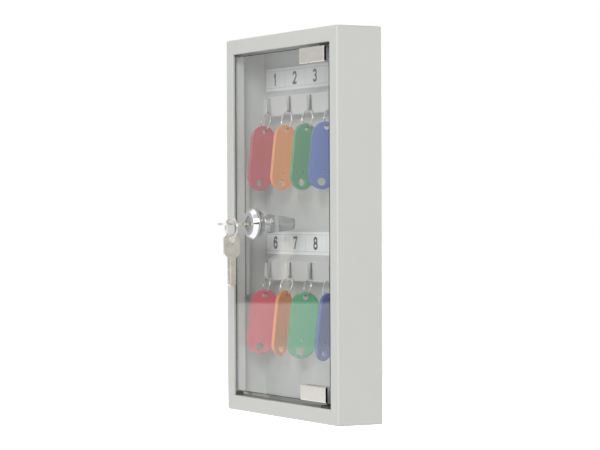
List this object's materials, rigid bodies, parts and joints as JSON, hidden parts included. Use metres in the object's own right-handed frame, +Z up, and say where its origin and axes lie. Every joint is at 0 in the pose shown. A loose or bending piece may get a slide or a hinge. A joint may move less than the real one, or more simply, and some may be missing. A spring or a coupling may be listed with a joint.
{
  "type": "key cabinet",
  "caption": "Shallow wall cabinet for keys with a hinged glass door, cam lock with key, numbered hook rails and hanging coloured key tags.",
  "frame": {"origin": "middle of the back, on the wall plane, halfway between the two wall holes", "axes": "+X to the right seen from the front, +Z up, +Y from the door towards the wall"},
  "size_m": [0.19, 0.0672, 0.3],
  "materials": {
    "powder_coat": "light warm grey powder coat, fine texture, satin",
    "rail_paint": "light grey powder coat, satin",
    "printed_strip": "white printed strip with black digits and thin rules",
    "black_plastic": "moulded black nylon",
    "door_glass": "clear float glass with ground edges",
    "satin_nickel": "satin nickel plate",
    "clear_rubber": "clear soft plastic",
    "zinc_steel": "bright zinc plate",
    "lock_chrome": "polished chrome plate",
    "key_nickel": "nickel plated brass, lightly brushed",
    "ring_steel": "polished nickel plated steel wire",
    "tag_red": "injection moulded plastic",
    "tag_orange": "injection moulded plastic",
    "tag_green": "injection moulded plastic",
    "tag_blue": "injection moulded plastic"
  },
  "bodies": {
    "cabinet": {"casing": "powder_coat", "back_panel": "powder_coat", "strike_plate": "powder_coat", "hook_rail_upper": "rail_paint", "hook_rail_lower": "rail_paint", "number_strip_upper": "printed_strip", "number_strip_lower": "printed_strip", "pivot_bush_upper": "black_plastic", "pivot_bush_lower": "black_plastic"},
    "door": {"glass_pane": "door_glass", "hinge_front_plate_upper": "satin_nickel", "hinge_rear_plate_upper": "satin_nickel", "hinge_pads_upper": "clear_rubber", "hinge_screws_upper": "zinc_steel", "pivot_pin_upper": "zinc_steel", "hinge_front_plate_lower": "satin_nickel", "hinge_rear_plate_lower": "satin_nickel", "hinge_pads_lower": "clear_rubber", "hinge_screws_lower": "zinc_steel", "pivot_pin_lower": "zinc_steel", "lock_housing": "lock_chrome", "lock_washer_front": "lock_chrome", "lock_washer_rear": "black_plastic", "lock_nut": "zinc_steel"},
    "plug": {"lock_plug": "lock_chrome", "lock_cam": "zinc_steel", "cam_washer": "zinc_steel", "cam_screw": "zinc_steel"},
    "key": {"key_in_lock": "key_nickel"},
    "ring": {"key_ring": "ring_steel"},
    "spare": {"spare_key": "key_nickel"},
    "hanging_tag_1": {"tag_1": "tag_red", "tag_ring_1": "ring_steel"},
    "hanging_tag_2": {"tag_2": "tag_orange", "tag_ring_2": "ring_steel"},
    "hanging_tag_3": {"tag_3": "tag_green", "tag_ring_3": "ring_steel"},
    "hanging_tag_4": {"tag_4": "tag_blue", "tag_ring_4": "ring_steel"},
    "hanging_tag_5": {"tag_5": "tag_red", "tag_ring_5": "ring_steel"},
    "hanging_tag_6": {"tag_6": "tag_orange", "tag_ring_6": "ring_steel"},
    "hanging_tag_7": {"tag_7": "tag_green", "tag_ring_7": "ring_steel"},
    "hanging_tag_8": {"tag_8": "tag_blue", "tag_ring_8": "ring_steel"}
  },
  "joints": [
    {"name": "door_hinge", "type": "hinge", "parent": "cabinet", "child": "door", "pos_m": [0.0705, -0.0307, 0], "axis": [0, 0, 1], "range_deg": [0, 105]},
    {"name": "lock_turn", "type": "hinge", "parent": "door", "child": "plug", "pos_m": [-0.047, -0.0422, 0.001], "axis": [0, 1, 0], "range_deg": [0, 180]},
    {"name": "key_withdraw", "type": "slide", "parent": "plug", "child": "key", "axis": [0, -1, 0], "range_m": [0, 0.02]},
    {"name": "key_ring_turn", "type": "hinge", "parent": "key", "child": "ring", "pos_m": [-0.03986, -0.06044, -0.002], "axis": [-0.1736, 0.9848, 0], "range_deg": [-180, 0]},
    {"name": "spare_key_swing", "type": "hinge", "parent": "ring", "child": "spare", "pos_m": [-0.03986, -0.06044, -0.00985], "axis": [1, 0, 0], "range_deg": [-12, 12]},
    {"name": "tag_sway_1", "type": "hinge", "parent": "cabinet", "child": "hanging_tag_1", "pos_m": [-0.0714, -0.0096, 0.091], "axis": [0, 1, 0], "range_deg": [-5, 5]},
    {"name": "tag_sway_2", "type": "hinge", "parent": "cabinet", "child": "hanging_tag_2", "pos_m": [-0.0357, -0.0096, 0.091], "axis": [0, 1, 0], "range_deg": [-5, 5]},
    {"name": "tag_sway_3", "type": "hinge", "parent": "cabinet", "child": "hanging_tag_3", "pos_m": [0, -0.0096, 0.091], "axis": [0, 1, 0], "range_deg": [-5, 5]},
    {"name": "tag_sway_4", "type": "hinge", "parent": "cabinet", "child": "hanging_tag_4", "pos_m": [0.0357, -0.0096, 0.091], "axis": [0, 1, 0], "range_deg": [-5, 5]},
    {"name": "tag_sway_5", "type": "hinge", "parent": "cabinet", "child": "hanging_tag_5", "pos_m": [-0.0714, -0.0096, -0.0415], "axis": [0, 1, 0], "range_deg": [-5, 5]},
    {"name": "tag_sway_6", "type": "hinge", "parent": "cabinet", "child": "hanging_tag_6", "pos_m": [-0.0357, -0.0096, -0.0415], "axis": [0, 1, 0], "range_deg": [-5, 5]},
    {"name": "tag_sway_7", "type": "hinge", "parent": "cabinet", "child": "hanging_tag_7", "pos_m": [0, -0.0096, -0.0415], "axis": [0, 1, 0], "range_deg": [-5, 5]},
    {"name": "tag_sway_8", "type": "hinge", "parent": "cabinet", "child": "hanging_tag_8", "pos_m": [0.0357, -0.0096, -0.0415], "axis": [0, 1, 0], "range_deg": [-5, 5]}
  ],
  "couplings": [
    {"joint": "key_ring_turn", "follows": "lock_turn", "ratio": -1}
  ]
}
